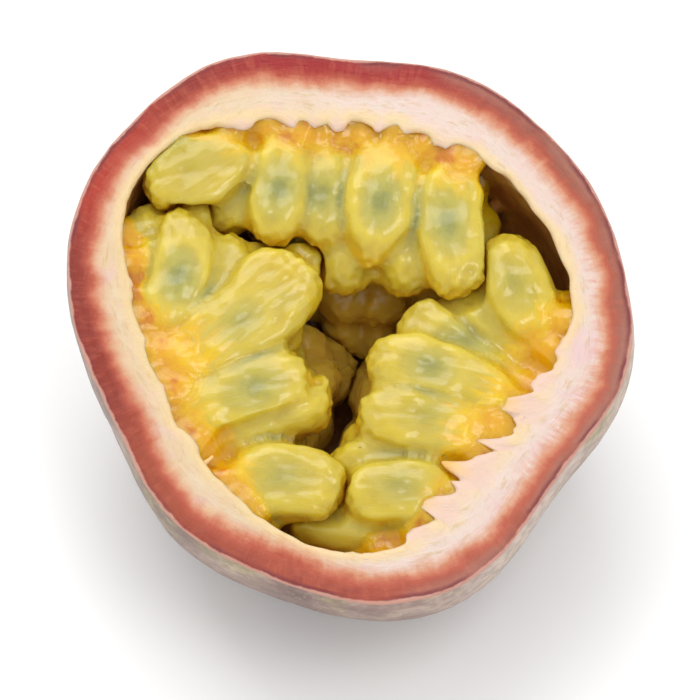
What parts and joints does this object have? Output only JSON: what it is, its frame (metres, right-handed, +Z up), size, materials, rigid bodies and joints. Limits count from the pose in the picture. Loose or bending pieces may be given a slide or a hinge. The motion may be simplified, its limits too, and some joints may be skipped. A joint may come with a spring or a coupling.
{
  "type": "halved passion fruit",
  "caption": "Half of a purple passion fruit, cut across and lying cut face up: a thick rind bowl with pegs on its inner wall and bunches of juice sacs.",
  "frame": {"origin": "on the surface that the half lies on, under the middle of its box", "axes": "+Z up; +X to the right of the cut face; the cut face is tipped 16 degrees from level, towards -Y"},
  "size_m": [0.053, 0.0538, 0.0356],
  "materials": {
    "rind": "satin",
    "pulp": "gloss"
  },
  "bodies": {
    "root": {"rind": "rind", "sacs_top": "pulp", "sacs_left": "pulp", "sacs_right": "pulp"}
  },
  "joints": []
}
